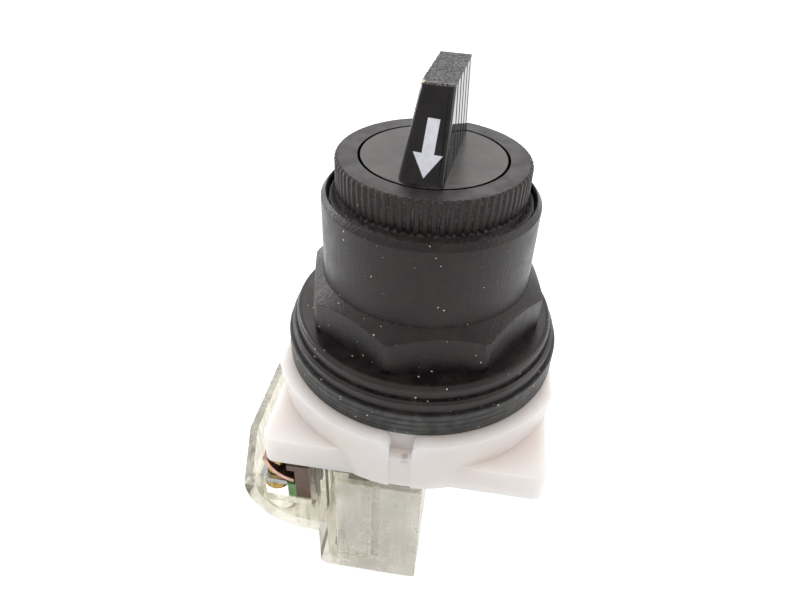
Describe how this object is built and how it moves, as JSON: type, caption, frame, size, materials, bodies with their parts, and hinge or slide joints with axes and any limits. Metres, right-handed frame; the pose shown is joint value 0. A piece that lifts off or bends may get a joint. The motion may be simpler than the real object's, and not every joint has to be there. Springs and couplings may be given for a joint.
{
  "type": "selector switch",
  "caption": "Panel selector switch with a black bladed knob, knurled ring, ring nut with an octagonal wrench foot, milky square base and a clear contact block.",
  "frame": {"origin": "centre of the base's round collar top, the seat where the panel's rear side clamps", "axes": "+Z out through the panel to the knob; -Y the side the arrow points to at rest; the contact block hangs at -X"},
  "size_m": [0.0484, 0.0484, 0.0844],
  "materials": {
    "milky_nylon": "milky translucent nylon moulding with a soft sheen",
    "brass": "plain brass",
    "black_rubber": "black rubber with a dull sheen",
    "black_washer": "black moulded washer, semi-gloss on its edges",
    "matt_black": "matt black moulding, mottled and dusty",
    "gloss_black": "glossy black moulding",
    "pale_marking": "white filled marking",
    "steel": "zinc plated steel",
    "spring_steel": "drawn spring wire",
    "brown_plastic": "dark brown phenolic moulding",
    "pale_plastic": "off-white acetal",
    "clear_plastic": "clear plastic with a faint yellow-green tint",
    "green_plastic": "green moulding",
    "silver": "silver contact tips",
    "copper": "pinkish copper alloy strip"
  },
  "bodies": {
    "housing": {"operator_base": "milky_nylon", "threaded_inserts": "brass", "panel_gaskets": "black_rubber", "thrust_washer": "black_washer", "ring_nut": "matt_black", "knurled_ring": "gloss_black", "detent_spring": "spring_steel", "left_plunger_spring": "spring_steel", "right_plunger_spring": "spring_steel", "block_housing": "clear_plastic", "block_frame": "brown_plastic", "terminal_insulator": "green_plastic", "fixed_tips": "silver", "carrier_return_spring": "spring_steel", "upper_front_contact": "copper", "upper_back_contact": "copper", "lower_front_contact": "copper", "lower_back_contact": "copper", "terminal_clamps": "steel", "terminal_screws": "brass", "block_screws": "steel"},
    "knob": {"selector_knob": "gloss_black", "pointer_arrow": "pale_marking", "knob_seal": "black_rubber", "knob_screw": "steel", "cam_rotor": "brown_plastic"},
    "left_plunger": {"left_plunger": "pale_plastic"},
    "right_plunger": {"right_plunger": "pale_plastic"},
    "carrier": {"contact_carrier": "pale_plastic", "upper_bridge": "brass", "lower_bridge": "brass", "moving_tips": "silver", "upper_contact_spring": "spring_steel", "lower_contact_spring": "spring_steel"}
  },
  "joints": [
    {"name": "knob_turn", "type": "hinge", "parent": "housing", "child": "knob", "pos_m": [0, 0, 0.02], "axis": [0, 0, 1], "range_deg": [-45, 45]},
    {"name": "left_plunger_slide", "type": "slide", "parent": "housing", "child": "left_plunger", "axis": [0, 0, 1], "range_m": [-0.0014, 0.0014], "deforming": ["left_plunger_spring"]},
    {"name": "right_plunger_slide", "type": "slide", "parent": "housing", "child": "right_plunger", "axis": [0, 0, 1], "range_m": [-0.0014, 0.0014], "deforming": ["right_plunger_spring"]},
    {"name": "carrier_slide", "type": "slide", "parent": "housing", "child": "carrier", "axis": [0, 0, 1], "range_m": [-0.0014, 0.0014], "deforming": ["carrier_return_spring"]}
  ],
  "couplings": [
    {"joint": "left_plunger_slide", "follows": "knob_turn", "m_per_rad": 0.0017825},
    {"joint": "right_plunger_slide", "follows": "knob_turn", "m_per_rad": -0.0017825},
    {"joint": "carrier_slide", "follows": "knob_turn", "m_per_rad": 0.0017825}
  ]
}
